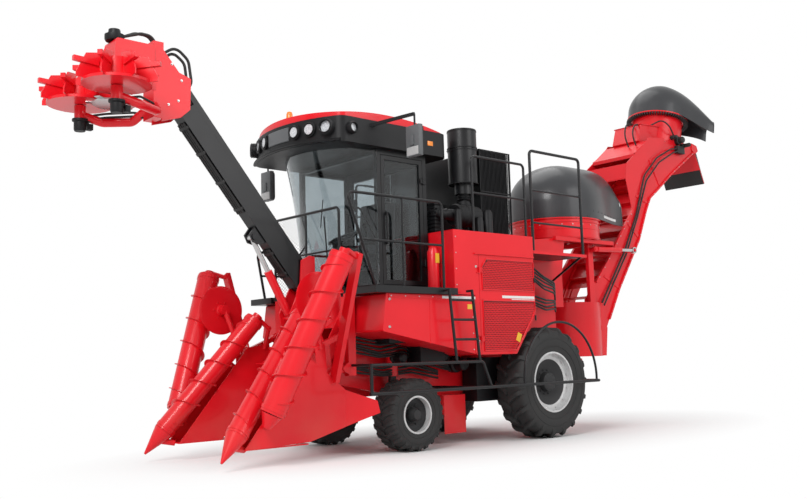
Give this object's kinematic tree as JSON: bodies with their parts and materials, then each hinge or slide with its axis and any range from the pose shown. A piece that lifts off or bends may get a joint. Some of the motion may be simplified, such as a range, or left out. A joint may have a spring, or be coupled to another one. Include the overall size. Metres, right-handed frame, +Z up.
{
  "type": "self-propelled sugar-cane harvester",
  "caption": "Wheeled sugar-cane harvester with a raised topper boom, scroll crop dividers, glazed cab, domed extractor hood and a rear elevator.",
  "frame": {"origin": "on the ground, under the middle of the machine's box", "axes": "+X to the machine's left, +Y to its rear, +Z up"},
  "size_m": [3.1488, 11.9851, 5.9674],
  "materials": {
    "red_paint": "gloss",
    "black_paint": "satin",
    "grey_shell": "satin",
    "black_trim": "matte",
    "rim_paint": "satin",
    "tyre": "matte",
    "glass": "clear",
    "lamp": "clear",
    "steel": "bright",
    "cast": "rough",
    "seat_cloth": "woven"
  },
  "bodies": {
    "chassis": {"chassis_frame": "red_paint", "front_frame": "red_paint", "side_tanks": "red_paint", "engine_bay": "red_paint", "engine_block": "cast", "cooling_pack": "black_paint", "cab_shell": "black_paint", "cab_glass": "glass", "cab_interior": "seat_cloth", "cab_roof_band": "black_trim", "cab_roof_cap": "red_paint", "work_lamps": "lamp", "handrails": "black_paint", "side_rails": "black_paint", "extractor_base": "red_paint"},
    "steer_left": {"knuckle_left": "black_paint"},
    "front_wheel_left": {"front_tyre_left": "tyre", "front_rim_left": "rim_paint"},
    "rear_wheel_left": {"rear_tyre_left": "tyre", "rear_rim_left": "rim_paint"},
    "steer_right": {"knuckle_right": "black_paint"},
    "front_wheel_right": {"front_tyre_right": "tyre", "front_rim_right": "rim_paint"},
    "rear_wheel_right": {"rear_tyre_right": "tyre", "rear_rim_right": "rim_paint"},
    "topper_boom": {"topper_boom": "black_paint"},
    "topper_link": {"topper_link": "black_paint"},
    "topper_head": {"topper_head": "red_paint"},
    "topper_cutter": {"topper_cutter": "steel"},
    "lift_barrel": {"lift_barrel": "red_paint"},
    "lift_rod": {"lift_rod": "steel"},
    "topper_drum_left": {"topper_drum_left": "red_paint"},
    "topper_drum_right": {"topper_drum_right": "red_paint"},
    "divider_lower_arm_left": {"divider_lower_arm_left": "red_paint"},
    "divider_upper_arm_left": {"divider_upper_arm_left": "red_paint"},
    "divider_left": {"divider_left": "red_paint"},
    "inner_scroll_left": {"inner_scroll_left": "red_paint"},
    "outer_scroll_left": {"outer_scroll_left": "red_paint"},
    "side_disc_left": {"side_disc_left": "red_paint"},
    "divider_lower_arm_right": {"divider_lower_arm_right": "red_paint"},
    "divider_upper_arm_right": {"divider_upper_arm_right": "red_paint"},
    "divider_right": {"divider_right": "red_paint"},
    "inner_scroll_right": {"inner_scroll_right": "red_paint"},
    "outer_scroll_right": {"outer_scroll_right": "red_paint"},
    "side_disc_right": {"side_disc_right": "red_paint"},
    "knockdown_roller": {"knockdown_roller": "red_paint"},
    "base_cutter_left": {"base_cutter_disc_left": "steel"},
    "base_cutter_right": {"base_cutter_disc_right": "steel"},
    "extractor_fan": {"extractor_fan": "red_paint"},
    "extractor_hood": {"extractor_hood": "grey_shell"},
    "elevator_turntable": {"elevator_turntable": "red_paint"},
    "second_hood": {"second_hood": "grey_shell"},
    "luff_barrels": {"luff_barrels": "red_paint"},
    "luff_rods": {"luff_rods": "steel"},
    "elevator": {"elevator": "red_paint", "conveyor": "red_paint"},
    "cab_door": {"cab_door": "black_paint", "door_glass": "glass"},
    "engine_door_left": {"engine_door_left": "red_paint"},
    "engine_door_right": {"engine_door_right": "red_paint"}
  },
  "joints": [
    {"name": "steer_left", "type": "hinge", "parent": "chassis", "child": "steer_left", "pos_m": [0.54, -1.95, 0.437], "axis": [0, 0, 1], "range_deg": [-20, 20]},
    {"name": "front_wheel_left", "type": "hinge", "parent": "steer_left", "child": "front_wheel_left", "pos_m": [0.82, -1.95, 0.437], "axis": [1, 0, 0], "continuous": true},
    {"name": "rear_wheel_left", "type": "hinge", "parent": "chassis", "child": "rear_wheel_left", "pos_m": [1.04, 0.31, 0.742], "axis": [1, 0, 0], "continuous": true},
    {"name": "steer_right", "type": "hinge", "parent": "chassis", "child": "steer_right", "pos_m": [-0.54, -1.95, 0.437], "axis": [0, 0, 1], "range_deg": [-20, 20]},
    {"name": "front_wheel_right", "type": "hinge", "parent": "steer_right", "child": "front_wheel_right", "pos_m": [-0.82, -1.95, 0.437], "axis": [1, 0, 0], "continuous": true},
    {"name": "rear_wheel_right", "type": "hinge", "parent": "chassis", "child": "rear_wheel_right", "pos_m": [-1.04, 0.31, 0.742], "axis": [1, 0, 0], "continuous": true},
    {"name": "topper_raise", "type": "hinge", "parent": "chassis", "child": "topper_boom", "pos_m": [0, -2.94, 2.05], "axis": [-1, 0, 0], "range_deg": [-45, 4]},
    {"name": "topper_link_pivot", "type": "hinge", "parent": "chassis", "child": "topper_link", "pos_m": [0, -2.92, 2.29], "axis": [-1, 0, 0], "range_deg": [-45, 4]},
    {"name": "topper_head_level", "type": "hinge", "parent": "topper_boom", "child": "topper_head", "pos_m": [0, -4.56, 4.04], "axis": [-1, 0, 0], "range_deg": [-4, 45]},
    {"name": "topper_cutter_spin", "type": "hinge", "parent": "topper_head", "child": "topper_cutter", "pos_m": [0, -5.35, 3.94], "axis": [0, 0, 1], "continuous": true},
    {"name": "topper_drum_spin_left", "type": "hinge", "parent": "topper_head", "child": "topper_drum_left", "pos_m": [0.47, -5.53, 4.03], "axis": [0, 0, 1], "continuous": true},
    {"name": "topper_drum_spin_right", "type": "hinge", "parent": "topper_head", "child": "topper_drum_right", "pos_m": [-0.47, -5.53, 4.03], "axis": [0, 0, 1], "continuous": true},
    {"name": "lift_barrel_pivot", "type": "hinge", "parent": "chassis", "child": "lift_barrel", "pos_m": [0, -3.09, 1.64], "axis": [-1, 0, 0], "range_deg": [-37.24, 4.22]},
    {"name": "lift_rod_stroke", "type": "slide", "parent": "lift_barrel", "child": "lift_rod", "axis": [0, -0.4926, 0.8703], "range_m": [-0.3068, 0.0318]},
    {"name": "divider_raise_left", "type": "hinge", "parent": "chassis", "child": "divider_lower_arm_left", "pos_m": [0.72, -2.85, 1.02], "axis": [-1, 0, 0], "range_deg": [0, 30]},
    {"name": "divider_upper_pivot_left", "type": "hinge", "parent": "chassis", "child": "divider_upper_arm_left", "pos_m": [0.72, -2.85, 1.42], "axis": [-1, 0, 0], "range_deg": [0, 30]},
    {"name": "divider_level_left", "type": "hinge", "parent": "divider_lower_arm_left", "child": "divider_left", "pos_m": [0.72, -3.27, 0.85], "axis": [-1, 0, 0], "range_deg": [-30, 0]},
    {"name": "inner_scroll_spin_left", "type": "hinge", "parent": "divider_left", "child": "inner_scroll_left", "pos_m": [0.5, -3.27, 1.65], "axis": [-0.1757, 0.6297, 0.7567], "continuous": true},
    {"name": "outer_scroll_spin_left", "type": "hinge", "parent": "divider_left", "child": "outer_scroll_left", "pos_m": [1.44, -3.38, 2.26], "axis": [0.2231, 0.3569, 0.9071], "continuous": true},
    {"name": "side_disc_spin_left", "type": "hinge", "parent": "divider_left", "child": "side_disc_left", "pos_m": [1.055, -3.43, 1.79], "axis": [1, 0, 0], "continuous": true},
    {"name": "divider_raise_right", "type": "hinge", "parent": "chassis", "child": "divider_lower_arm_right", "pos_m": [-0.72, -2.85, 1.02], "axis": [-1, 0, 0], "range_deg": [0, 30]},
    {"name": "divider_upper_pivot_right", "type": "hinge", "parent": "chassis", "child": "divider_upper_arm_right", "pos_m": [-0.72, -2.85, 1.42], "axis": [-1, 0, 0], "range_deg": [0, 30]},
    {"name": "divider_level_right", "type": "hinge", "parent": "divider_lower_arm_right", "child": "divider_right", "pos_m": [-0.72, -3.27, 0.85], "axis": [-1, 0, 0], "range_deg": [-30, 0]},
    {"name": "inner_scroll_spin_right", "type": "hinge", "parent": "divider_right", "child": "inner_scroll_right", "pos_m": [-0.5, -3.27, 1.65], "axis": [0.1757, 0.6297, 0.7567], "continuous": true},
    {"name": "outer_scroll_spin_right", "type": "hinge", "parent": "divider_right", "child": "outer_scroll_right", "pos_m": [-1.44, -3.38, 2.26], "axis": [-0.2231, 0.3569, 0.9071], "continuous": true},
    {"name": "side_disc_spin_right", "type": "hinge", "parent": "divider_right", "child": "side_disc_right", "pos_m": [-1.055, -3.43, 1.79], "axis": [1, 0, 0], "continuous": true},
    {"name": "knockdown_roller_spin", "type": "hinge", "parent": "chassis", "child": "knockdown_roller", "pos_m": [0, -3.07, 1], "axis": [1, 0, 0], "continuous": true},
    {"name": "base_cutter_spin_left", "type": "hinge", "parent": "chassis", "child": "base_cutter_left", "pos_m": [0.23, -0.935, 0.4], "axis": [0, -0.1736, 0.9848], "continuous": true},
    {"name": "base_cutter_spin_right", "type": "hinge", "parent": "chassis", "child": "base_cutter_right", "pos_m": [-0.23, -0.935, 0.4], "axis": [0, -0.1736, 0.9848], "continuous": true},
    {"name": "extractor_fan_spin", "type": "hinge", "parent": "chassis", "child": "extractor_fan", "pos_m": [0, 2.02, 3], "axis": [0, 0, 1], "continuous": true},
    {"name": "extractor_hood_swivel", "type": "hinge", "parent": "chassis", "child": "extractor_hood", "pos_m": [0, 2.02, 3.19], "axis": [0, 0, 1], "range_deg": [-90, 90]},
    {"name": "elevator_slew", "type": "hinge", "parent": "chassis", "child": "elevator_turntable", "pos_m": [0, 2.25, 1], "axis": [0, 0, 1], "range_deg": [-85, 85]},
    {"name": "elevator_tilt", "type": "hinge", "parent": "elevator_turntable", "child": "elevator", "pos_m": [0, 2.5, 1.5], "axis": [1, 0, 0], "range_deg": [-20, 0]},
    {"name": "luff_barrel_pivot", "type": "hinge", "parent": "elevator_turntable", "child": "luff_barrels", "pos_m": [0, 2.25, 2.72], "axis": [1, 0, 0], "range_deg": [-15.56, 1]},
    {"name": "luff_rod_stroke", "type": "slide", "parent": "luff_barrels", "child": "luff_rods", "axis": [0, 0.9993, 0.0384], "range_m": [-0.005, 0.4228]},
    {"name": "second_hood_swivel", "type": "hinge", "parent": "elevator", "child": "second_hood", "pos_m": [0, 5.15, 5.31], "axis": [0, 0.2079, 0.9781], "range_deg": [-130, 130]},
    {"name": "cab_door_swing", "type": "hinge", "parent": "chassis", "child": "cab_door", "pos_m": [0.835, -1.593, 2.8], "axis": [0, 0, 1], "range_deg": [0, 37]},
    {"name": "engine_door_swing_left", "type": "hinge", "parent": "chassis", "child": "engine_door_left", "pos_m": [1.265, -1.068, 1.8], "axis": [0, 0, -1], "range_deg": [0, 90]},
    {"name": "engine_door_swing_right", "type": "hinge", "parent": "chassis", "child": "engine_door_right", "pos_m": [-1.265, -1.068, 1.8], "axis": [0, 0, 1], "range_deg": [0, 90]}
  ],
  "couplings": [
    {"joint": "steer_right", "follows": "steer_left", "ratio": 1},
    {"joint": "topper_link_pivot", "follows": "topper_raise", "ratio": 1},
    {"joint": "topper_head_level", "follows": "topper_raise", "ratio": -1},
    {"joint": "lift_barrel_pivot", "follows": "topper_raise", "ratio": 0.8054},
    {"joint": "lift_rod_stroke", "follows": "topper_raise", "m_per_rad": 0.3843},
    {"joint": "divider_upper_pivot_left", "follows": "divider_raise_left", "ratio": 1},
    {"joint": "divider_level_left", "follows": "divider_raise_left", "ratio": -1},
    {"joint": "divider_upper_pivot_right", "follows": "divider_raise_right", "ratio": 1},
    {"joint": "divider_level_right", "follows": "divider_raise_right", "ratio": -1},
    {"joint": "luff_barrel_pivot", "follows": "elevator_tilt", "ratio": 0.728},
    {"joint": "luff_rod_stroke", "follows": "elevator_tilt", "m_per_rad": -1.197}
  ]
}
